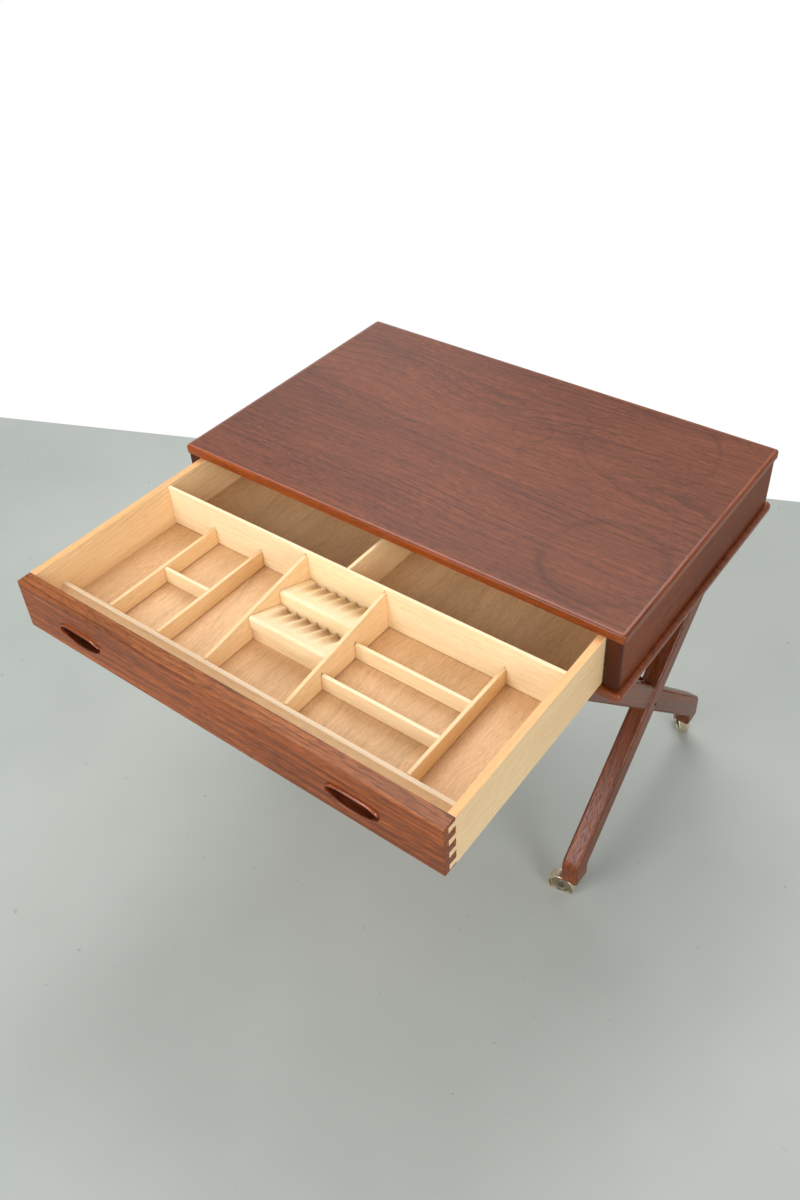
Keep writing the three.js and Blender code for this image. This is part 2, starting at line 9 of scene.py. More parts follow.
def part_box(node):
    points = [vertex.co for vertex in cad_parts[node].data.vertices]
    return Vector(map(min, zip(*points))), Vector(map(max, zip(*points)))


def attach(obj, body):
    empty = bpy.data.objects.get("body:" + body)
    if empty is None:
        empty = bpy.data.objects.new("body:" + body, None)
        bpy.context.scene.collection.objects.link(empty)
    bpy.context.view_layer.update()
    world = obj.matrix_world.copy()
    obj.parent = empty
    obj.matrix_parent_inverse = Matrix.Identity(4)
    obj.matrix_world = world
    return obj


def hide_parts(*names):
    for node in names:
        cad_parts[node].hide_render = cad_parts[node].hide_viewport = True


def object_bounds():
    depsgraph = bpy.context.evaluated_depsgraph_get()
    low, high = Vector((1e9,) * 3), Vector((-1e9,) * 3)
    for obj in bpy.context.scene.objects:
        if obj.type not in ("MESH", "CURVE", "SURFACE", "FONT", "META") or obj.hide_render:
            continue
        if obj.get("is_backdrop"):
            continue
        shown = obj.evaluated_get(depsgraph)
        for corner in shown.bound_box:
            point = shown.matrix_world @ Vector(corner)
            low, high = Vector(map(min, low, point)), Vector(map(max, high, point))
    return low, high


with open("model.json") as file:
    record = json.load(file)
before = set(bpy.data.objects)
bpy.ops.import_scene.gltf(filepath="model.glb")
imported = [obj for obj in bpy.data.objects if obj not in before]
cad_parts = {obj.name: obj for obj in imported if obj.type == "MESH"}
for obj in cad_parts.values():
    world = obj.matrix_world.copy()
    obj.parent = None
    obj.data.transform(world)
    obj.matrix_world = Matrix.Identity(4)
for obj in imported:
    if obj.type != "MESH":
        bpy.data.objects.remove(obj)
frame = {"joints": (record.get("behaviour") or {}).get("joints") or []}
cad_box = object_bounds()

MM = 0.001
CORNERS = ("front_right", "rear_right", "front_left", "rear_left")
SIDES = {"left": -1, "right": 1}


# ---------------------------------------------------------------- places taken from the CAD nodes
def span(node):
    """(x0, x1, y0, y1, z0, z1) of a CAD node at rest."""
    low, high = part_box(node)
    return low.x, high.x, low.y, high.y, low.z, high.z


TABLE_TOP = span("top_panel")[5]
DRAWER_FACE = span("drawer_front")[2]
DRAWER_FLOOR = span("drawer_floor")[5]
CROSSING_DROP = 325.5 * MM
CROSSING_Y = (span("bottom_board")[2] + span("bottom_board")[3]) / 2 + 1 * MM
CROSSING_Z = TABLE_TOP - CROSSING_DROP


# ---------------------------------------------------------------- nodes of procedural materials
class Graph:
    """A small builder for a material's node tree."""

    def __init__(self, name):
        self.material = bpy.data.materials.new(name)
        self.material.use_nodes = True
        self.tree = self.material.node_tree
        self.shader = self.tree.nodes["Principled BSDF"]

    def add(self, kind, **inputs):
        """A node of that kind. Keywords set its inputs by name, with _ for a blank."""
        node = self.tree.nodes.new(kind)
        for key, value in inputs.items():
            self.feed(node.inputs[key.replace("_", " ")], value)
        return node

    def feed(self, socket, value):
        if isinstance(value, bpy.types.NodeSocket):
            self.tree.links.new(value, socket)
        else:
            socket.default_value = value

    def object_coordinates(self):
        return self.add("ShaderNodeTexCoord").outputs["Object"]

    def mapping(self, vector, location=(0, 0, 0), rotation=(0, 0, 0), scale=(1, 1, 1)):
        node = self.add("ShaderNodeMapping", Vector=vector)
        node.inputs["Location"].default_value = location
        node.inputs["Rotation"].default_value = [math.radians(a) for a in rotation]
        node.inputs["Scale"].default_value = scale
        return node.outputs["Vector"]

    def noise(self, vector, scale=1.0, detail=2.0, roughness=0.5, distortion=0.0):
        node = self.add("ShaderNodeTexNoise", Vector=vector, Scale=scale, Detail=detail,
                        Roughness=roughness, Distortion=distortion)
        return node.outputs["Fac"]

    def rings(self, vector, scale, distortion, detail=2.0, detail_scale=1.0, profile="SIN"):
        node = self.add("ShaderNodeTexWave", Vector=vector, Scale=scale, Distortion=distortion,
                        Detail=detail, Detail_Scale=detail_scale)
        node.wave_type = "RINGS"
        node.rings_direction = "X"
        node.wave_profile = profile
        return node.outputs["Fac"]

    def ramp(self, value, stops):
        """A colour ramp. Stops are (position, grey or colour)."""
        node = self.add("ShaderNodeValToRGB", Fac=value)
        elements = node.color_ramp.elements
        while len(elements) < len(stops):
            elements.new(0.5)
        for element, (position, colour) in zip(elements, stops):
            element.position = position
            grey = (colour,) * 3 if isinstance(colour, (int, float)) else colour
            element.color = (*grey, 1)
        return node.outputs["Color"]

    def math(self, operation, a, b=0.0, c=0.0, clamp=False):
        node = self.tree.nodes.new("ShaderNodeMath")
        node.operation = operation
        node.use_clamp = clamp
        for socket, value in zip(node.inputs, (a, b, c)):
            self.feed(socket, value)
        return node.outputs[0]

    def mix(self, factor, a, b, blend="MIX"):
        node = self.tree.nodes.new("ShaderNodeMix")
        node.data_type = "RGBA"
        node.blend_type = blend
        sockets = [s for s in node.inputs if s.enabled]
        for socket, value in zip(sockets, (factor, a, b)):
            if isinstance(value, tuple) and len(value) == 3:
                value = (*value, 1)
            self.feed(socket, value)
        return next(s for s in node.outputs if s.enabled)

    def length(self, vector):
        node = self.tree.nodes.new("ShaderNodeVectorMath")
        node.operation = "LENGTH"
        self.feed(node.inputs[0], vector)
        return node.outputs["Value"]

    def bump(self, height, strength, distance):
        node = self.add("ShaderNodeBump", Height=height, Strength=strength, Distance=distance)
        self.feed(self.shader.inputs["Normal"], node.outputs["Normal"])

    def surface(self, colour, roughness, **constants):
        self.feed(self.shader.inputs["Base Color"], colour)
        self.feed(self.shader.inputs["Roughness"], roughness)
        for key, value in constants.items():
            self.shader.inputs[key.replace("_", " ")].default_value = value
        return self.material


# Rotations that bring a piece's grain to the X axis of the wood's own space.
ALONG_X = (0, 0, 0)
ALONG_Y = (0, 0, -90)


def wood(name, dark, light, grain=ALONG_X, seed=0.0, pith=(0.0, -0.12), ring_pitch=9.0, ring_tilt=2.0,
         lines=0.4, fibres=0.6, flecks=0.4, patches=0.4, pores=0.3, wave=0.03, roughness=0.42, gloss=0.3,
         fineness=1.0, bump=0.12, coat=0.0, marks=None):
    """Sawn wood: fibres, broad patches, thin dark growth lines round a pith under the surface, and short
    pores. Colours are linear. Lengths are in metres except ring_pitch, in millimetres."""
    g = Graph(name)
    place = g.object_coordinates()
    space = g.mapping(place, rotation=grain, location=(seed * 0.37, seed * 0.11, seed * 0.05))
    wander = g.noise(g.mapping(space, scale=(1.8, 6, 6)), detail=2, roughness=0.5)
    shift = g.math("MULTIPLY_ADD", wander, wave * 2, -wave)
    moved = g.tree.nodes.new("ShaderNodeVectorMath")
    g.feed(moved.inputs[0], space)
    g.feed(moved.inputs[1], g.add("ShaderNodeCombineXYZ", Y=shift, Z=shift).outputs[0])
    bent = moved.outputs[0]
    pith_place = (0, -pith[0] - seed * 0.11, -pith[1] - seed * 0.05)
    trunk = g.mapping(bent, rotation=(0, ring_tilt, 0), location=pith_place)
    rings = g.rings(trunk, 314 / ring_pitch, 1.6, detail=3, detail_scale=1.4, profile="SAW")
    late = g.ramp(rings, [(0.0, 0.0), (0.62, 0.1), (0.93, 1.0), (1.0, 0.0)])
    here_and_there = g.ramp(g.noise(g.mapping(bent, scale=(3, 14, 14)), detail=3),
                            [(0.42, 0.15), (0.62, 1.0)])
    across = 150 * fineness
    long_fibres = g.noise(g.mapping(bent, scale=(3.5, across, across)), detail=4, roughness=0.65)
    short_flecks = g.noise(g.mapping(bent, scale=(60, 520, 520)), detail=2, roughness=0.6)
    broad = g.noise(g.mapping(bent, scale=(1.6, 6.5, 6.5)), detail=2)
    tone = g.math("MULTIPLY_ADD", g.ramp(long_fibres, [(0.33, 0.0), (0.67, 1.0)]), fibres, 0.5 - fibres / 2)
    for spread, share in ((short_flecks, flecks), (broad, patches)):
        shade = g.ramp(spread, [(0.33, 0.0), (0.67, 1.0)])
        tone = g.math("ADD", tone, g.math("MULTIPLY_ADD", shade, share, -share / 2))
    colour = g.mix(tone, dark, light)
    deep = tuple(c * 0.42 for c in dark)
    colour = g.mix(g.math("MULTIPLY", g.math("MULTIPLY", late, here_and_there), lines), colour, deep)
    fine = g.noise(g.mapping(bent, scale=(75, 1100, 1100)), detail=2)
    holes = g.ramp(fine, [(0.34, 1.0), (0.46, 0.0)])
    colour = g.mix(g.math("MULTIPLY", holes, pores), colour, deep)
    if marks:
        colour = marks(g, place, colour, deep)
    rough = g.math("MULTIPLY_ADD", long_fibres, 0.24, roughness - 0.12)
    height = g.math("MULTIPLY_ADD", long_fibres, 0.5, g.math("MULTIPLY", holes, -1.0))
    g.bump(height, bump, 0.0004)
    return g.surface(colour, rough, Specular_IOR_Level=gloss, Coat_Weight=coat, Coat_Roughness=0.16)


TEAK = {
    "top": ((0.094, 0.023, 0.009), (0.235, 0.066, 0.027)),
    "lip": ((0.180, 0.033, 0.003), (0.370, 0.073, 0.006)),
    "case": ((0.120, 0.023, 0.004), (0.280, 0.062, 0.012)),
    "front": ((0.140, 0.031, 0.006), (0.430, 0.108, 0.022)),
    "leg": ((0.110, 0.022, 0.004), (0.290, 0.064, 0.012)),
}
BEECH = ((0.84, 0.545, 0.27), (0.99, 0.755, 0.45))
# A paler, less saturated copy of the beech. This is painted light for the cross wall, the cross dividers
# and the spool rests, whose seen faces catch the most light.
BEECH_PAINTED_LIGHT = ((0.88, 0.67, 0.39), (1.0, 0.86, 0.59))
TROUGH_BEECH = ((0.79, 0.57, 0.37), (0.99, 0.81, 0.56))
PLYWOOD = ((0.58, 0.34, 0.16), (0.90, 0.60, 0.34))


def teak(name, kind, grain, seed, **more):
    settings = dict(lines=0.55, fibres=0.75, flecks=0.45, patches=0.5, pores=0.45, roughness=0.4,
                    gloss=0.35)
    settings.update(more)
    return wood(name, *TEAK[kind], grain, seed, **settings)


def beech(name, grain, seed, tones=BEECH, **more):
    settings = dict(ring_pitch=6.0, pith=(0.02, -0.06), lines=0.10, fibres=0.35, flecks=0.35,
                    patches=0.3, pores=0.12, roughness=0.48, gloss=0.3, bump=0.05)
    settings.update(more)
    return wood(name, *tones, grain, seed, **settings)


def top_band_wear_and_light(height, thickness, tint, share):
    """Marks that tint a board above a height: a drawer side's aged upper edge, and on the drawer front
    painted light, an upper face lighter where light from above falls.
    """
    def marks(g, place, colour, deep):
        z = g.add("ShaderNodeSeparateXYZ", Vector=place).outputs["Z"]
        above = g.math("DIVIDE", g.math("SUBTRACT", z, height - thickness), thickness, clamp=True)
        return g.mix(g.math("MULTIPLY", above, share), colour, g.mix(1.0, colour, tint, "MULTIPLY"))

    return marks


# Faint rings that cups and pots have left on the tabletop. The first two numbers are shares of its width
# and depth, the next two the ring's radius and width in metres, the last its strength.
STAIN_RINGS = (
    (0.88, 0.23, 0.078, 0.009, 0.48),
    (0.79, 0.79, 0.094, 0.005, 0.3),
    (0.563, 0.675, 0.028, 0.004, 0.4),
)


def stain_rings(x0, x1, y0, y1):
    """Marks for the rings on a tabletop of those limits."""
    def marks(g, place, colour, deep):
        uneven = g.ramp(g.noise(place, scale=11, detail=4, roughness=0.65), [(0.36, 0.0), (0.6, 1.0)])
        for across, back, radius, width, strength in STAIN_RINGS:
            x, y = x0 + (x1 - x0) * across, y0 + (y1 - y0) * back
            centre = g.mapping(place, location=(-x, -y, -TABLE_TOP))
            off = g.math("ABSOLUTE", g.math("SUBTRACT", g.length(centre), radius))
            band = g.math("SUBTRACT", 1.0, g.math("DIVIDE", off, width), clamp=True)
            colour = g.mix(g.math("MULTIPLY", g.math("MULTIPLY", band, uneven), strength), colour, deep)
        return colour

    return marks


def pull_wood():
    """Oiled wood with painted shade inside the hollow: darker the deeper it lies, to near black."""
    g = Graph("pull_wood")
    place = g.object_coordinates()
    fibres = g.noise(g.mapping(place, scale=(14, 260, 260)), detail=3)
    own_tone = g.ramp(fibres, [(0.3, (0.13, 0.024, 0.006)), (0.7, (0.36, 0.078, 0.018))])
    hollow_shade = g.ramp(fibres, [(0.3, (0.020, 0.0035, 0.001)), (0.7, (0.095, 0.019, 0.004))])
    y = g.add("ShaderNodeSeparateXYZ", Vector=place).outputs["Y"]
    inside = g.math("DIVIDE", g.math("SUBTRACT", y, DRAWER_FACE - 1.5 * MM), 4 * MM, clamp=True)
    g.bump(fibres, 0.04, 0.0003)
    # Painted shade: the hollow is darkened towards near black by its depth.
    colour = g.mix(inside, own_tone, hollow_shade)
    return g.surface(colour, 0.18, Specular_IOR_Level=0.5, Coat_Weight=0.35, Coat_Roughness=0.1)


def metal(name, colour, roughness, scratch=0.08):
    g = Graph(name)
    space = g.object_coordinates()
    spots = g.noise(space, scale=120, detail=4)
    tint = g.mix(spots, tuple(c * 0.72 for c in colour), colour)
    rough = g.math("MULTIPLY_ADD", spots, scratch * 2, roughness - scratch)
    g.bump(g.noise(space, scale=600, detail=2), 0.06, 0.0003)
    return g.surface(tint, rough, Metallic=1.0)


def plastic(name, colour, roughness):
    g = Graph(name)
    space = g.object_coordinates()
    dust = g.ramp(g.noise(space, scale=90, detail=5), [(0.4, 0.0), (0.75, 1.0)])
    tint = g.mix(dust, colour, tuple(c * 1.5 + 0.02 for c in colour))
    g.bump(dust, 0.08, 0.0004)
    return g.surface(tint, roughness)


# ---------------------------------------------------------------- meshes
def new_object(name, mesh):
    made = bpy.data.objects.new(name, mesh)
    bpy.context.scene.collection.objects.link(made)
    return made


def to_object(name, bm):
    """An object from a bmesh, with its faces out."""
    bmesh.ops.remove_doubles(bm, verts=bm.verts, dist=1e-6)
    bmesh.ops.recalc_face_normals(bm, faces=bm.faces)
    mesh = bpy.data.meshes.new(name)
    bm.to_mesh(mesh)
    bm.free()
    return new_object(name, mesh)


def round_corner(before, corner, after, radius, steps=6):
    """Points of an arc that rounds a polygon's corner."""
    here = Vector(corner)
    a = (Vector(before) - here).normalized()
    b = (Vector(after) - here).normalized()
    half = a.angle(b) / 2
    centre = here + (a + b).normalized() * (radius / math.sin(half))
    start = here + a * (radius / math.tan(half)) - centre
    end = here + b * (radius / math.tan(half)) - centre
    turn = start.angle_signed(end)
    return [centre + Matrix.Rotation(-turn * i / steps, 2) @ start for i in range(steps + 1)]


def outline(corners, steps=6):
    """A closed polygon from (a, b) or (a, b, radius) corners."""
    points = []
    for i, corner in enumerate(corners):
        before, after = corners[i - 1][:2], corners[(i + 1) % len(corners)][:2]
        if len(corner) == 3 and corner[2] > 0:
            points += round_corner(before, corner[:2], after, corner[2], steps)
        else:
            points.append(Vector(corner[:2]))
    return points


PLANES = {
    "x": lambda a, b, along: (along, a, b),
    "y": lambda a, b, along: (a, along, b),
    "z": lambda a, b, along: (a, b, along),
}


def loft(name, loops):
    """A closed mesh through loops that have the same number of points, capped at both ends."""
    bm = bmesh.new()
    rows = [[bm.verts.new(p) for p in loop] for loop in loops]
    for low, high in zip(rows, rows[1:]):
        for i in range(len(low)):
            bm.faces.new((low[i - 1], low[i], high[i], high[i - 1]))
    bm.faces.new(rows[0][::-1])
    bm.faces.new(rows[-1])
    return to_object(name, bm)


def prism(name, points, axis, start, end):
    """A polygon in the plane across an axis, extruded along it."""
    place = PLANES[axis]
    return loft(name, [[place(a, b, along) for a, b in points] for along in (start, end)])


def rectangle(a0, a1, b0, b1):
    return [Vector((a0, b0)), Vector((a1, b0)), Vector((a1, b1)), Vector((a0, b1))]


def circle(centre, radius, steps):
    angles = [2 * math.pi * i / steps for i in range(steps)]
    return [Vector((centre[0] + radius * math.cos(a), centre[1] + radius * math.sin(a))) for a in angles]


def block(name, x0, x1, y0, y1, z0, z1):
    return prism(name, rectangle(x0, x1, y0, y1), "z", z0, z1)


def soften(made, width, segments=3, angle=30):
    """Rounds a mesh's edges, and keeps its flat faces flat in the shading."""
    mesh = made.data
    mesh.polygons.foreach_set("use_smooth", [True] * len(mesh.polygons))
    mesh.set_sharp_from_angle(angle=math.radians(angle))
    if width:
        bevel = made.modifiers.new("rounded_edges", "BEVEL")
        bevel.width = width
        bevel.segments = segments
        bevel.limit_method = "ANGLE"
        bevel.angle_limit = math.radians(angle)
    made.modifiers.new("flat_faces", "WEIGHTED_NORMAL").keep_sharp = True
    return made


def settle(made):
    """Applies a mesh's modifiers."""
    graph = bpy.context.evaluated_depsgraph_get()
    mesh = bpy.data.meshes.new_from_object(made.evaluated_get(graph))
    made.modifiers.clear()
    made.data = mesh
    return made


def carve(made, *cutters, operation="DIFFERENCE"):
    """Cuts the other meshes out of this one, or joins them to it."""
    for cutter in cutters:
        step = made.modifiers.new("carve", "BOOLEAN")
        step.operation = operation
        step.solver = "MANIFOLD"
        step.object = cutter
    settle(made)
    for cutter in cutters:
        bpy.data.objects.remove(cutter)
    return made


def place(made, body, material, slot, *nodes):
    """Gives a piece its material, makes it ride, and hides the CAD nodes that it stands for. Its slot is
    not used.
    """
    made.data.materials.clear()
    made.data.materials.append(material)
    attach(made, body)
    if nodes:
        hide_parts(*nodes)
    return made


def plain_board(node, body, material, slot, edge=0.8 * MM, segments=3):
    """A rectangular board in place of its CAD node, with softened edges."""
    made = soften(block(f"{node}_wood", *span(node)), edge, segments)
    return place(made, body, material, slot, node)


# ---------------------------------------------------------------- camera, light and floor
# Angles are in degrees, and the place is counted from the middle of the tabletop's front edge.
CAMERA_AZIMUTH, CAMERA_ELEVATION, CAMERA_ROLL = 38.06, 39.56, -2.73
CAMERA_LENS = 32.09
CAMERA_SHIFT = (-0.0162, -0.0415)
CAMERA_PLACE = (0.6969, -0.8077, 0.8433)

ROOM_LIGHT = 0.41
LIGHT_TARGET = (0, 0, 0.45)
# Each soft light's name, place, size in metres and power in watts.
SOFT_LIGHTS = (
    ("front", (-0.6, -3.0, 2.5), 1.6, 60),
    ("front_low", (0.3, -3.4, 1.2), 1.2, 23),
    ("right", (3.2, -1.4, 1.7), 1.4, 47),
    ("rear", (-0.5, 1.3, 2.8), 1.8, 46),
    ("rear_left", (-2.3, 2.3, 2.2), 1.8, 16),
)


def add_camera():
    azimuth, elevation, roll = map(math.radians, (CAMERA_AZIMUTH, CAMERA_ELEVATION, CAMERA_ROLL))
    forward = Vector((-math.sin(azimuth) * math.cos(elevation), math.cos(azimuth) * math.cos(elevation),
                      -math.sin(elevation)))
    right = Vector((math.cos(azimuth), math.sin(azimuth), 0))
    up = right.cross(forward)
    tilted_right = math.cos(roll) * right + math.sin(roll) * up
    tilted_up = -math.sin(roll) * right + math.cos(roll) * up
    camera = bpy.data.cameras.new("camera")
    camera.sensor_fit = "VERTICAL"
    camera.sensor_height = 36
    camera.lens = CAMERA_LENS
    camera.shift_x, camera.shift_y = CAMERA_SHIFT
    camera.clip_end = 50
    made = bpy.data.objects.new("camera", camera)
    bpy.context.scene.collection.objects.link(made)
    front_edge = Vector((0, span("top_lip_front")[2], TABLE_TOP))
    turned = Matrix((tilted_right, tilted_up, -forward)).transposed()
    made.matrix_world = Matrix.Translation(front_edge + Vector(CAMERA_PLACE)) @ turned.to_4x4()
    bpy.context.scene.camera = made


def add_light():
    """White walls that look white, dim light from all round, and large soft lights on all sides."""
    world = bpy.data.worlds.new("studio")
    world.use_nodes = True
    tree = world.node_tree
    background = tree.nodes["Background"]
    background.inputs["Color"].default_value = (1, 1, 1, 1)
    seen = tree.nodes.new("ShaderNodeLightPath").outputs["Is Camera Ray"]
    strength = tree.nodes.new("ShaderNodeMath")
    strength.operation = "MULTIPLY_ADD"
    strength.inputs[1].default_value = 1 - ROOM_LIGHT
    strength.inputs[2].default_value = ROOM_LIGHT
    tree.links.new(seen, strength.inputs[0])
    tree.links.new(strength.outputs[0], background.inputs["Strength"])
    bpy.context.scene.world = world
    for name, spot, size, power in SOFT_LIGHTS:
        light = bpy.data.lights.new(name, "AREA")
        light.size = size
        light.energy = power
        made = bpy.data.objects.new(name, light)
        bpy.context.scene.collection.objects.link(made)
        made.location = spot
        towards = Vector(LIGHT_TARGET) - Vector(spot)
        made.rotation_euler = towards.to_track_quat("-Z", "Y").to_euler()


FLOOR_FAR_EDGE = (Vector((-6.0, -1.547)), Vector((6.0, 3.537)))
FLOOR_REACH = Vector((2.6, -5.5))


def add_floor():
    """A painted floor that ends where the white wall would begin."""
    left, right = FLOOR_FAR_EDGE
    bm = bmesh.new()
    corners = [bm.verts.new((*p, 0)) for p in (left, left + FLOOR_REACH, right + FLOOR_REACH, right)]
    bm.faces.new(corners)
    made = to_object("floor", bm)
    g = Graph("floor_paint")
    space = g.object_coordinates()
    cloud = g.noise(space, scale=1.1, detail=4, roughness=0.6)
    colour = g.ramp(cloud, [(0.3, (0.385, 0.418, 0.388)), (0.7, (0.48, 0.51, 0.48))])
    specks = g.ramp(g.noise(space, scale=60, detail=2), [(0.24, 1.0), (0.27, 0.0)])
    colour = g.mix(g.math("MULTIPLY", specks, 0.4), colour, (0.2, 0.19, 0.18))
    g.bump(cloud, 0.05, 0.002)
    made.data.materials.append(g.surface(colour, 0.5, Specular_IOR_Level=0.35))
    made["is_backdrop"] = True


# ---------------------------------------------------------------- the tabletop
def add_top():
    x0, x1, y0, y1, z0, z1 = (*span("top_lip_front")[:2], span("top_lip_front")[2], span("top_lip_back")[3],
                              *span("top_panel")[4:])
    round_plan, round_edge, steps = 5 * MM, 3.4 * MM, 6

    def slab_loop(inset, z):
        r = max(round_plan - inset, 1 * MM)
        a0, a1, b0, b1 = x0 + inset, x1 - inset, y0 + inset, y1 - inset
        points = outline([(a0, b0, r), (a1, b0, r), (a1, b1, r), (a0, b1, r)], 8)
        return [(p.x, p.y, z) for p in points]

    def slab(name):
        loops = []
        for side, base in ((-1, z0), (1, z1)):
            edge = []
            for i in range(steps + 1):
                angle = math.pi / 2 * i / steps
                inset, fall = round_edge * (1 - math.cos(angle)), round_edge * (1 - math.sin(angle))
                edge.append((inset, base - side * fall))
            edge = edge if side > 0 else edge[::-1]
            loops += [slab_loop(*step) for step in edge]
        return loft(name, loops)

    px0, px1, py0, py1 = span("top_panel")[:4]
    far = 1.0
    windows = {
        "top_panel": (px0, px1, py0, py1),
        "top_lip_front": (-far, far, -far, py0),
        "top_lip_back": (-far, far, py1, far),
        "top_lip_left": (-far, px0, py0, py1),
        "top_lip_right": (px1, far, py0, py1),
    }
    panel = teak("teak_top_panel", "top", ALONG_X, -0.55, pith=(0.20, TABLE_TOP - 0.045), ring_pitch=11,
                 ring_tilt=3.0, lines=0.5, fibres=0.75, fineness=2.0, wave=0.045, pores=0.6,
                 roughness=0.42, gloss=0.22, marks=stain_rings(x0, x1, y0, y1))
    for seed, (node, (a0, a1, b0, b1)) in enumerate(windows.items()):
        made = slab(f"{node}_wood")
        window = block("window_block", a0, a1, b0, b1, z0 - 0.1, z1 + 0.1)
        carve(made, window, operation="INTERSECT")
        soften(made, 0.0 if node != "top_panel" else 0.15 * MM, 2)
        if node == "top_panel":
            material = panel
            slot = "teak_top"
        else:
            grain = ALONG_X if b1 - b0 < 0.3 or node.endswith(("front", "back")) else ALONG_Y
            kind = "lip" if node == "top_lip_front" else "case"
            material = teak(f"teak_{node}", kind, grain, 1.0 + seed, ring_pitch=4, lines=0.3,
                            roughness=0.34, gloss=0.45)
            slot = "teak_lip"
        place(made, "case", material, slot, node)


# ---------------------------------------------------------------- the case
def dark_end(front):
    """A side panel's front end is a strip of much darker wood."""
    def marks(g, place, colour, deep):
        y = g.add("ShaderNodeSeparateXYZ", Vector=place).outputs["Y"]
        near = g.math("DIVIDE", g.math("SUBTRACT", front + 9 * MM, y), 6 * MM, clamp=True)
        return g.mix(g.math("MULTIPLY", near, 0.9), colour, deep)

    return marks


def add_case():
    for name, side in SIDES.items():
        node = f"side_panel_{name}"
        x0, x1, y0, y1, z0, z1 = span(node)
        plan = outline([(x0, y0, 4 * MM), (x1, y0, 4 * MM), (x1, y1, 2 * MM), (x0, y1, 0.5 * MM)], 6)
        made = soften(prism(f"{node}_wood", plan, "z", z0, z1), 0.4 * MM, 2)
        material = teak(f"teak_{node}", "case", ALONG_Y, 3.0 + side, ring_pitch=7, fineness=1.5,
                        roughness=0.46, gloss=0.2, marks=dark_end(y0))
        place(made, "case", material, "teak_case", node)
    plain_board("back_panel", "case", teak("teak_back", "case", ALONG_X, 5.0), "teak_case")
    x0, x1, y0, y1, z0, z1 = span("bottom_board")
    plan = outline([(x0, y0, 8 * MM), (x1, y0, 8 * MM), (x1, y1, 8 * MM), (x0, y1, 8 * MM)], 8)
    made = soften(prism("bottom_board_wood", plan, "z", z0, z1), 4.5 * MM, 5)
    material = teak("teak_bottom_board", "case", ALONG_X, 7.0, roughness=0.32, gloss=0.5)
    place(made, "case", material, "teak_case", "bottom_board")


# ---------------------------------------------------------------- the leg frames
LEG_WIDTH = 37 * MM
FOOT_REACH, FOOT_LENGTH, TOP_REACH = 205 * MM, 34 * MM, 222 * MM


def leg_outline(towards, foot_z, top_z):
    w = LEG_WIDTH / 2 * math.sqrt(2)
    inside = FOOT_REACH - FOOT_LENGTH
    low, high = foot_z - CROSSING_Z, top_z - CROSSING_Z
    corners = [
        (-FOOT_REACH, low),
        (-inside, low),
        (-inside, -inside - w, 12 * MM),
        (TOP_REACH, TOP_REACH - w),
        (TOP_REACH, high),
        (high - w, high),
        (-FOOT_REACH, -FOOT_REACH + w, 20 * MM),
    ]
    placed = [(CROSSING_Y - towards * c[0], CROSSING_Z + c[1], *c[2:]) for c in corners]
    return outline(placed if towards < 0 else placed[::-1], 8)


# The y, z and radius of an open screw hole in the outer face of each frame, just below the crossing.
SCREW_HOLE = (CROSSING_Y + 2.5 * MM, CROSSING_Z - 11.5 * MM, 3 * MM)
SCREW_HOLE_DEPTH = 3 * MM


def screw_hole_painted_shade(g, place, colour, deep):
    """Painted shade: marks that blacken a leg round and inside its screw hole."""
    y, z, radius = SCREW_HOLE
    flat = g.mapping(place, location=(0, -y, -z), scale=(0, 1, 1))
    hole_shade_share = g.math("LESS_THAN", g.length(flat), radius + 0.2 * MM)
    return g.mix(hole_shade_share, colour, (0.008, 0.005, 0.004))


def add_legs():
    y, z, radius = SCREW_HOLE
    round_hole = circle((y, z), radius, 24)
    crossing = Vector((CROSSING_Y, CROSSING_Z))
    gap, half_length, past = 0.15 * MM, 90 * MM, 10 * MM
    reach = LEG_WIDTH / 2 + 0.3 * MM
    for name, side in SIDES.items():
        for way, towards in (("to_front", -1), ("to_rear", 1)):
            node = f"leg_{way}_{name}"
            x0, x1, _, _, z0, z1 = span(node)
            made = prism(f"{node}_wood", leg_outline(towards, z0, z1), "x", x0, x1)
            settle(soften(made, 4.2 * MM, 5, angle=35))
            rail = span(f"frame_rail_{name}")
            middle = (rail[0] + rail[1]) / 2
            inner, outer = (x0, x1) if side > 0 else (x1, x0)
            if towards < 0:
                housing = sorted((inner - side * past, middle + side * gap))
            else:
                housing = sorted((middle - side * gap, outer + side * past))
            turn = Matrix.Rotation(math.radians(45 * towards), 2)
            spun = [turn @ p + crossing for p in rectangle(-half_length, half_length, -reach, reach)]
            cutters = [prism("housing", spun, "x", *housing)]
            if towards < 0:
                hole = sorted((outer - side * SCREW_HOLE_DEPTH, outer + side * 1 * MM))
                cutters.append(prism("screw_hole", round_hole, "x", *hole))
            carve(made, *cutters)
            soften(made, 0, angle=35)
            grain = (45 * towards, 0, -90)
            # The legs that run to the front get painted shade, near black, in their screw hole.
            material = teak(f"teak_{node}", "leg", grain, 9.0 + side + 0.7 * towards, ring_pitch=6,
                            fibres=1.0, bump=0.5, roughness=0.32, gloss=0.4,
                            marks=screw_hole_painted_shade if towards < 0 else None)
            place(made, "case", material, "teak_leg", node)
        node = f"frame_rail_{name}"
        x0, x1, y0, y1, z0, z1 = span(node)
        taper = z1 - z0
        points = [Vector((y0 + taper, z0)), Vector((y1 - taper, z0)), Vector((y1, z1)), Vector((y0, z1))]
        made = soften(prism(f"{node}_wood", points, "x", x0, x1), 0.8 * MM, 2)
        place(made, "case", teak(f"teak_{node}", "leg", ALONG_Y, 12.0 + side), "teak_leg", node)
    plain_board("stretcher", "case", teak("teak_stretcher", "leg", ALONG_X, 14.0), "teak_leg", 3 * MM, 4)


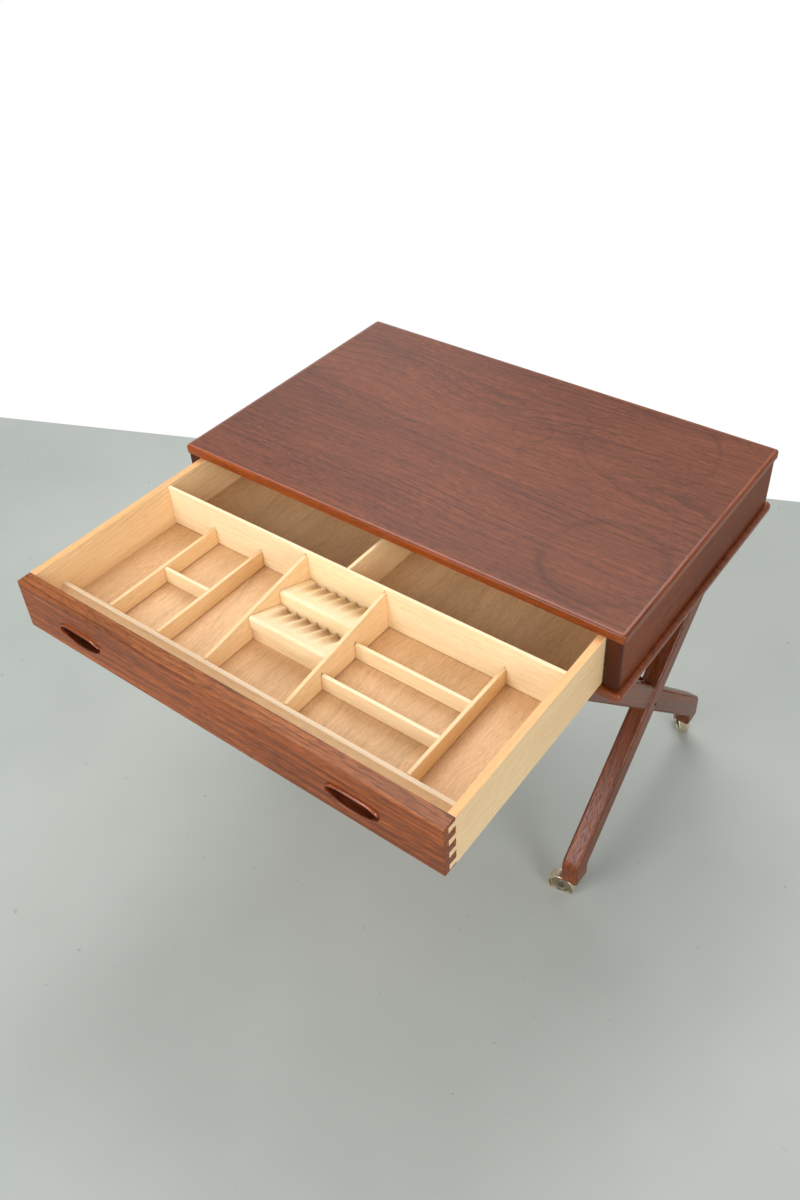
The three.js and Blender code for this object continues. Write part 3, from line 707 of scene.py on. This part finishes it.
# ---------------------------------------------------------------- the drawer
TAIL = {"count": 4, "lap": 8 * MM, "tip": 9.6 * MM, "root": 8 * MM, "pitch": 20.1 * MM, "drop": 3.4 * MM}
PULL_X, PULL_DROP = {"left": -220 * MM, "right": 208 * MM}, 57 * MM
PULL_HALF, PULL_RISE, PULL_FALL, PULL_DEPTH = 36.5 * MM, 12.5 * MM, 18 * MM, 14 * MM
# A pull's section, from top to bottom. Each first number is a share of how far the lip stands out or of the
# hollow's depth, and each second one a share of the lip's or the sill's height.
LIP_CURVE = ((0.45, 0.10), (0.80, 0.36), (0.97, 0.72), (1.0, 1.0), (0.9, 1.24), (0.6, 1.38), (0.0, 1.42))
UNDERCUT = ((0.5, 1.3), (0.84, 1.6), (0.97, 2.1), (1.0, 2.6))
HOLLOW_FOOT = ((1.0, 3.2), (0.96, 2.2), (0.82, 1.6), (0.5, 1.25), (0.2, 1.05))
SILL_CURVE = ((0.5, 0.95), (1.0, 0.65), (0.9, 0.25))


def tail_points(i, top, grow, back):
    middle = top - TAIL["drop"] - i * TAIL["pitch"] - TAIL["tip"] / 2
    tip, root = TAIL["tip"] / 2 + grow, TAIL["root"] / 2 + grow
    lap = DRAWER_FACE + TAIL["lap"] - grow
    return [Vector((back, middle + root)), Vector((lap, middle + tip)), Vector((lap, middle - tip)),
            Vector((back, middle - root))]


def pull_edges(t):
    """The upper and lower edges of a pull's eyelid outline, at t from -1 to 1 across it."""
    upper = PULL_RISE * (1 - abs(t) ** 4.5) ** 0.6
    lower = -PULL_FALL * (1 - abs(t) ** 2.5) ** 0.6
    return upper, lower


def pull_outline(x, z, grow):
    steps = 36
    ts = [math.sin(math.pi / 2 * (2 * i / steps - 1)) for i in range(steps + 1)]
    top = [(x + t * (PULL_HALF + grow), z + pull_edges(t)[0] + grow) for t in ts]
    low = [(x + t * (PULL_HALF + grow), z + pull_edges(t)[1] - grow) for t in ts[::-1][1:-1]]
    return [Vector(p) for p in top + low]


def add_drawer_front():
    x0, x1, y0, y1, z0, z1 = span("drawer_front")
    front = soften(block("drawer_front_wood", x0, x1, y0, y1, z0, z1), 1.2 * MM, 3)
    settle(front)
    cutters = []
    inside = span("cross_wall")[1]
    for i in range(TAIL["count"]):
        socket = tail_points(i, z1, 0.12 * MM, y1 + 1 * MM)
        cutters.append(prism("socket", socket, "x", inside, x1 + 1 * MM))
        cutters.append(prism("socket", socket, "x", x0 - 1 * MM, -inside))
    for x in PULL_X.values():
        hole = pull_outline(x, TABLE_TOP - PULL_DROP, 0.1 * MM)
        cutters.append(prism("hole", hole, "y", y0 - 10 * MM, y0 + PULL_DEPTH + 0.2 * MM))
    carve(front, *cutters)
    soften(front, 0)
    # Painted light: the front's upper face is tinted lighter and paler where light from above falls on it.
    material = teak("teak_drawer_front", "front", ALONG_X, 0.6, pith=(-0.36, 0.50), ring_pitch=8,
                    ring_tilt=3, lines=0.7, fibres=0.85, patches=0.55, fineness=1.6, gloss=0.3,
                    marks=top_band_wear_and_light(z1, 0.5 * MM, (1.05, 1.28, 1.5), 1.0))
    place(front, "drawer", material, "teak_front", "drawer_front")


def add_pulls():
    """Each pull is lofted from sections across it: a proud lip round its ends, an undercut and a hollow."""
    z = TABLE_TOP - PULL_DROP
    material = pull_wood()
    for name, middle in PULL_X.items():
        loops = []
        steps = 72
        for i in range(steps + 1):
            t = math.sin(math.pi / 2 * 0.985 * (2 * i / steps - 1))
            upper, lower = pull_edges(t)
            height = upper - lower
            size = min(1.0, height / (18 * MM))
            lip, sill = 2.3 * MM * size, 1.6 * MM * size
            proud = 3.3 * MM * (1 - abs(t) ** 16) ** 0.5
            low = 0.6 * MM + (proud - 0.6 * MM) * abs(t) ** 6
            deep = (PULL_DEPTH - 2.2 * MM) * min(1.0, height / (14 * MM)) ** 0.5
            section = [(0.0, upper)]
            section += [(-out * proud, upper - down * lip) for out, down in LIP_CURVE]
            section += [(back * deep, upper - down * lip) for back, down in UNDERCUT]
            section += [(back * deep, lower + up * sill) for back, up in HOLLOW_FOOT]
            section += [(-out * low, lower + up * sill) for out, up in SILL_CURVE]
            section += [(0.0, lower), (PULL_DEPTH, lower), (PULL_DEPTH, upper)]
            loops.append([(middle + t * PULL_HALF, DRAWER_FACE + y, z + dz) for y, dz in section])
        made = loft(f"pull_{name}_wood", loops)
        made.data.polygons.foreach_set("use_smooth", [True] * len(made.data.polygons))
        made.data.set_sharp_from_angle(angle=math.radians(75))
        place(made, "drawer", material, "pull_wood", f"pull_{name}")


def add_drawer_box():
    for name, side in SIDES.items():
        node = f"drawer_side_{name}"
        x0, x1, _, y1, z0, z1 = span(node)
        shoulder = span("drawer_front")[3]
        tails = []
        for i in range(TAIL["count"]):
            tails += tail_points(i, z1, 0, shoulder)
        points = [Vector((y1, z0)), Vector((y1, z1)), Vector((shoulder, z1)), *tails,
                  Vector((shoulder, z0))]
        made = prism(f"{node}_wood", points, "x", x0, x1)
        soften(made, 0.5 * MM, 2)
        material = beech(f"beech_{node}", ALONG_Y, 20.0 + side, lines=0.22, patches=0.5,
                         marks=top_band_wear_and_light(z1, 0.5 * MM, (0.96, 0.72, 0.55), 1.0))
        place(made, "drawer", material, "beech", node)
    plain_board("drawer_back", "drawer", beech("beech_drawer_back", ALONG_X, 22.0), "beech")
    floor = wood("plywood", *PLYWOOD, ALONG_Y, 0.0, ring_pitch=30, ring_tilt=1.0,
                 pith=(0.1, DRAWER_FLOOR - 0.04), lines=0.22, fibres=0.22, flecks=0.3, patches=0.7,
                 pores=0.28, wave=0.06, roughness=0.5, bump=0.04)
    plain_board("drawer_floor", "drawer", floor, "plywood", 0.2 * MM, 2)


def add_trough():
    x0, x1, y0, y1, z0, z1 = span("needle_trough")
    land_front, land = y1 - 6 * MM, z0 + 27.5 * MM
    edge, bottom = y0 + 2.6 * MM, z0 + 16 * MM
    points = [Vector((y0, z0)), Vector((y1, z0)), Vector((y1, land)), Vector((land_front, land))]
    lowest = (edge + land_front) / 2 + 2 * MM

    def curve(a, b, c):
        return [(1 - t) ** 2 * a + 2 * t * (1 - t) * b + t * t * c for t in (i / 12 for i in range(1, 13))]

    points += curve(points[-1], Vector((land_front - 6 * MM, bottom)), Vector((lowest, bottom)))
    points += curve(points[-1], Vector((edge + 2 * MM, bottom)), Vector((edge, z1)))
    points.append(Vector((y0, z1)))
    made = soften(prism("needle_trough_wood", points, "x", x0, x1), 0.5 * MM, 2, angle=40)
    material = wood("beech_trough", *TROUGH_BEECH, ALONG_X, 25.0, ring_pitch=4, lines=0.15,
                    fibres=0.5, flecks=0.3, patches=0.3, pores=0.1, bump=0.05)
    place(made, "drawer", material, "beech", "needle_trough")


def groove_end(x0, x1, y0, y1, top):
    """The open end of the groove that a divider is glued into, seen just above the divider."""
    return block("groove_end", x0, x1, y0, y1, top - 1 * MM, top + 2.6 * MM)


def add_partitions():
    """The dividers stand in grooves that end a little above them. A thin shadow line stays under each."""
    gap, wide, deep = 1.1 * MM, 1.1 * MM, 2.4 * MM
    wall = span("cross_wall")
    ends = []
    for name in ("first", "second", "third", "fourth", "sixth"):
        x0, x1, _, y1, _, z1 = span(f"divider_{name}")
        middle = (x0 + x1) / 2
        ends.append(groove_end(middle - wide, middle + wide, y1 - 1 * MM, y1 + deep, z1))
    x0, x1, y0, y1, z0, z1 = wall
    made = soften(block("cross_wall_wood", x0, x1, y0, y1, z0 + gap, z1), 0.7 * MM, 3)
    carve(settle(made), *ends)
    soften(made, 0)
    # The cross wall takes the paler beech copy, painted light.
    place(made, "drawer", beech("beech_cross_wall", ALONG_X, 37.0, tones=BEECH_PAINTED_LIGHT), "beech", "cross_wall")

    for i, name in enumerate(("first", "second", "sixth")):
        node = f"divider_{name}"
        x0, x1, y0, y1, z0, z1 = span(node)
        made = soften(block(f"{node}_wood", x0, x1, y0 + gap, y1 - gap / 2, z0 + gap, z1), 0.7 * MM, 3)
        place(made, "drawer", beech(f"beech_{node}", ALONG_Y, 30.0 + i), "beech", node)
    # The cross dividers take the paler beech copy, painted light.
    for i, name in enumerate(("left", "right_rear", "right_front")):
        node = f"cross_divider_{name}"
        x0, x1, y0, y1, z0, z1 = span(node)
        made = soften(block(f"{node}_wood", x0 + gap / 2, x1 - gap / 2, y0, y1, z0 + gap, z1), 0.7 * MM, 3)
        place(made, "drawer", beech(f"beech_{node}", ALONG_X, 34.0 + i, tones=BEECH_PAINTED_LIGHT), "beech", node)
    plain_board("rear_divider", "drawer", beech("beech_rear_divider", ALONG_Y, 39.0), "beech")

    for i, name in enumerate(("third", "fourth")):
        node = f"divider_{name}"
        x0, x1, y0, y1, z0, z1 = span(node)
        front_top = z0 + 28.5 * MM
        points = [Vector((y0 + gap, z0 + gap)), Vector((y1, z0 + gap)), Vector((y1, z1)),
                  Vector((y0 + gap, front_top))]
        made = settle(soften(prism(f"{node}_wood", points, "x", x0, x1), 0.7 * MM, 3))
        if name == "fourth":
            ends = []
            for end in ("rear", "front"):
                _, _, front, rear, _, top = span(f"cross_divider_right_{end}")
                middle = (front + rear) / 2
                ends.append(groove_end(x1 - deep, x1 + 1 * MM, middle - wide, middle + wide, top))
            carve(made, *ends)
        soften(made, 0)
        place(made, "drawer", beech(f"beech_{node}", ALONG_Y, 40.0 + i), "beech", node)


def groove_painted_shade(y0, y1, top, drop):
    """Painted shade: marks that darken a spool rest's grooves, the further they lie under its slope."""
    def marks(g, place, colour, deep):
        parts = g.add("ShaderNodeSeparateXYZ", Vector=place)
        slope = g.math("MULTIPLY_ADD", g.math("SUBTRACT", parts.outputs["Y"], y0), -drop / (y1 - y0), top)
        under = g.math("DIVIDE", g.math("SUBTRACT", slope, parts.outputs["Z"]), 5 * MM, clamp=True)
        behind = g.math("GREATER_THAN", parts.outputs["Y"], y0 + 8 * MM)
        share = g.math("MULTIPLY", g.math("MULTIPLY", under, behind), 0.8)
        return g.mix(share, colour, g.mix(1.0, colour, (0.60, 0.44, 0.36), "MULTIPLY"))

    return marks


def add_spool_rests():
    """Two sloping rests with scalloped grooves that deepen towards the back."""
    grooves, pitch, first, plain, nose = 6, 16.6 * MM, 9.5 * MM, 8 * MM, 4 * MM
    drop, step, seam, chamfer = 20 * MM, 3 * MM, 0.6 * MM, 0.6 * MM
    stations, rows = 180, 22
    for seed, (name, depth, foot) in enumerate((("front", 8.5 * MM, 22 * MM), ("rear", 6.5 * MM, 4 * MM))):
        node = f"spool_rest_{name}"
        x0, x1, y0, y1, z0, z1 = span(node)
        loops = []
        for i in range(stations + 1):
            x = x0 + seam + (x1 - x0 - 2 * seam) * i / stations
            u = (x - x0 - first) / pitch
            across = 2 * (u % 1) - 1
            lean = across + 0.35 * (1 - across * across)
            scallop = max(0.0, 1 - lean * lean) ** 0.7 if 0 < u < grooves else 0
            loop = [
                (y0 + step, z0),
                (y0 + step, z0 + foot),
                (y0 + chamfer, z0 + foot),
                (y0, z0 + foot + chamfer),
                (y0, z1 - nose),
                (y0 + 0.10 * nose, z1 - 0.60 * nose),
                (y0 + 0.35 * nose, z1 - 0.25 * nose),
                (y0 + 0.70 * nose, z1 - 0.08 * nose),
            ]
            for j in range(rows + 1):
                v = j / rows
                y = y0 + nose + (y1 - y0 - nose) * v
                deepening = max(0.0, (y - y0 - plain) / (y1 - y0 - plain)) ** 1.1
                fall = 0.06 * nose + (drop - 0.06 * nose) * v
                loop.append((y, z1 - fall - depth * scallop * deepening))
            loop.append((y1, z0))
            loops.append([(x, y, z) for y, z in loop])
        made = loft(f"{node}_wood", loops)
        made.data.polygons.foreach_set("use_smooth", [True] * len(made.data.polygons))
        made.data.set_sharp_from_angle(angle=math.radians(38))
        # The grooves carry painted shade, darker the deeper they lie.
        material = beech(f"beech_{node}", ALONG_X, 44.0 + seed, tones=BEECH_PAINTED_LIGHT,
                         marks=groove_painted_shade(y0, y1, z1, drop))
        place(made, "drawer", material, "beech", node)


# ---------------------------------------------------------------- the castors
def lathe(name, profile, centre, turn, steps=64):
    """A body turned about the Y axis, from closed [radius, y] points, then placed and turned about Z."""
    loops = []
    for i in range(steps):
        angle = 2 * math.pi * i / steps
        loops.append([(r * math.cos(angle), y, r * math.sin(angle)) for r, y in profile])
    bm = bmesh.new()
    rows = [[bm.verts.new(p) for p in loop] for loop in loops]
    on_axis = profile[0][0] == 0 and profile[-1][0] == 0
    for i in range(steps):
        low, high = rows[i - 1], rows[i]
        for j in range(1 if on_axis else 0, len(profile)):
            corners = (low[j - 1], low[j], high[j], high[j - 1])
            bm.faces.new(corners)
    bmesh.ops.remove_doubles(bm, verts=bm.verts, dist=1e-7)
    bmesh.ops.transform(bm, matrix=turn @ Matrix.Translation(centre), verts=bm.verts)
    return to_object(name, bm)


def arc(centre, radius, start, end, steps=6):
    """Points of an arc, between two angles in degrees."""
    angles = [math.radians(start + (end - start) * i / steps) for i in range(steps + 1)]
    return [(centre[0] + radius * math.cos(a), centre[1] + radius * math.sin(a)) for a in angles]


TRAIL, WHEEL_R, HOOD_R = 15.5 * MM, 17.5 * MM, 20 * MM
AXLE_BORE = 3.25 * MM
COLLAR_RADIUS, COLLAR_FOOT = 8 * MM, 25 * MM
STEM_RADIUS, STEM_FOOT, STEM_TOP = 4 * MM, 30 * MM, 62 * MM


def add_castor(corner):
    joint = {j["name"]: j for j in frame["joints"]}
    stem = Vector(joint[f"castor_swivel_{corner}"]["pos_m"])
    axle = Vector(joint[f"wheel_spin_{corner}"]["pos_m"])
    away = math.atan2(axle.y - stem.y, axle.x - stem.x)
    turn = Matrix.Translation((stem.x, stem.y, 0)) @ Matrix.Rotation(away - math.pi, 4, "Z")
    centre = Vector((-TRAIL, 0, WHEEL_R))
    body, wheel_body = f"castor_{corner}", f"wheel_{corner}"
    open_y, back_y, shell = -9 * MM, 10 * MM, 1.6 * MM
    bowl = [(0, open_y + 0.8 * MM)]
    bowl += [(HOOD_R - shell, open_y + 0.8 * MM)]
    bowl += arc((HOOD_R - 0.2 * MM, open_y + 0.9 * MM), 0.9 * MM, 250, 450, 8)
    bowl += [(HOOD_R - 0.1 * MM, open_y + 2.4 * MM)]
    bowl += arc((HOOD_R - 5 * MM, back_y - 5 * MM), 5 * MM, 0, 90, 8)
    bowl += [(0, back_y)]
    hollow = [(0, open_y - 1 * MM), (HOOD_R - shell, open_y - 1 * MM)]
    hollow += arc((HOOD_R - 5 * MM, back_y - 5 * MM), 5 * MM - shell, 0, 90, 8)
    hollow += [(AXLE_BORE, back_y - shell), (AXLE_BORE, back_y + 1 * MM), (0, back_y + 1 * MM)]
    hood = lathe(f"castor_hood_{corner}_shell", bowl, centre, turn)

    def post(name, radius, z0, z1, steps=32):
        made = prism(name, circle((0, 0), radius, steps), "z", z0, z1)
        made.data.transform(turn)
        return made

    collar_top = span(f"castor_plate_{corner}")[4] - 0.25 * MM
    collar = post("collar", COLLAR_RADIUS, COLLAR_FOOT, collar_top)
    stem_post = post("stem", STEM_RADIUS, STEM_FOOT, STEM_TOP)
    carve(hood, collar, stem_post, operation="UNION")
    carve(hood, lathe("hollow", hollow, centre, turn), block("below", -1, 1, -1, 1, -0.02, 5 * MM))
    soften(hood, 0, angle=40)
    place(hood, body, METALS["shell"], "castor_shell", f"castor_hood_{corner}")

    w = 6 * MM
    seat = 15.2 * MM
    wheel = [
        (AXLE_BORE, -w + 1 * MM),
        (5.4 * MM, -w + 1 * MM),
        (6.4 * MM, -w + 1.8 * MM),
        (7.4 * MM, -w + 3.2 * MM),
        (13.2 * MM, -w + 3.4 * MM),
        (14.4 * MM, -w + 2.2 * MM),
        (seat, -w + 1.4 * MM),
        (seat, w - 1.4 * MM),
        (13 * MM, w - 1 * MM),
        (AXLE_BORE, w - 1 * MM),
    ]
    disc = lathe(f"castor_wheel_{corner}_disc", wheel, centre, turn)
    soften(disc, 0, angle=40)
    place(disc, wheel_body, METALS["wheel"], "castor_wheel", f"castor_wheel_{corner}")
    rim = [(seat + 0.05 * MM, -w + 1 * MM), (seat + 0.5 * MM, -w)]
    rim += arc((WHEEL_R - 1.2 * MM, -w + 1.2 * MM), 1.2 * MM, -80, 0, 6)
    rim += arc((WHEEL_R - 1.2 * MM, w - 1.2 * MM), 1.2 * MM, 0, 80, 6)
    rim += [(seat + 0.5 * MM, w), (seat + 0.05 * MM, w - 1 * MM)]
    tyre = lathe(f"castor_wheel_{corner}_rim", rim, centre, turn)
    soften(tyre, 0, angle=40)
    place(tyre, wheel_body, METALS["shell"], "castor_shell")

    head = -w - 0.4 * MM
    pin = [
        (0, head - 1.6 * MM),
        (2.6 * MM, head - 1.6 * MM),
        (4.2 * MM, head - 1.0 * MM),
        (4.6 * MM, head - 0.3 * MM),
        (4.6 * MM, head),
        (3 * MM, head),
        (3 * MM, back_y - 0.3 * MM),
        (0, back_y - 0.3 * MM),
    ]
    rod = lathe(f"castor_axle_{corner}_pin", pin, centre, turn, 48)
    soften(rod, 0, angle=40)
    place(rod, body, METALS["axle"], "castor_steel", f"castor_axle_{corner}")

    z0, z1 = span(f"castor_plate_{corner}")[4:]
    washer = [
        (4.25 * MM, z0),
        (11 * MM, z0),
        (11.7 * MM, z0 + 0.3 * MM),
        (12 * MM, z0 + 1 * MM),
        (12 * MM, z1),
        (4.25 * MM, z1),
    ]
    steps = 64
    bm = bmesh.new()
    rows = []
    for i in range(steps):
        a = 2 * math.pi * i / steps
        rows.append([bm.verts.new((r * math.cos(a), r * math.sin(a), z)) for r, z in washer])
    for i in range(steps):
        for j in range(len(washer)):
            bm.faces.new((rows[i - 1][j - 1], rows[i - 1][j], rows[i][j], rows[i][j - 1]))
    bmesh.ops.transform(bm, matrix=Matrix.Translation((stem.x, stem.y, 0)), verts=bm.verts)
    plate = to_object(f"castor_plate_{corner}_ring", bm)
    soften(plate, 0, angle=40)
    place(plate, "case", METALS["steel"], "castor_steel", f"castor_plate_{corner}")


METALS = {
    "shell": metal("castor_brass", (0.93, 0.80, 0.58), 0.3),
    "steel": metal("castor_steel", (0.62, 0.60, 0.56), 0.35),
    "axle": metal("castor_axle_steel", (0.16, 0.13, 0.10), 0.45),
    "wheel": plastic("castor_wheel_plastic", (0.11, 0.093, 0.052), 0.42),
}

bpy.context.scene.view_settings.view_transform = "Standard"
add_camera()
add_light()
add_floor()
add_top()
add_case()
add_legs()
add_drawer_front()
add_pulls()
add_drawer_box()
add_trough()
add_partitions()
add_spool_rests()
for castor_corner in CORNERS:
    add_castor(castor_corner)


def plain(bounds):
    return [[float(v) for v in corner] for corner in bounds]


{"cad": plain(cad_box), "visual": plain(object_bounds())}
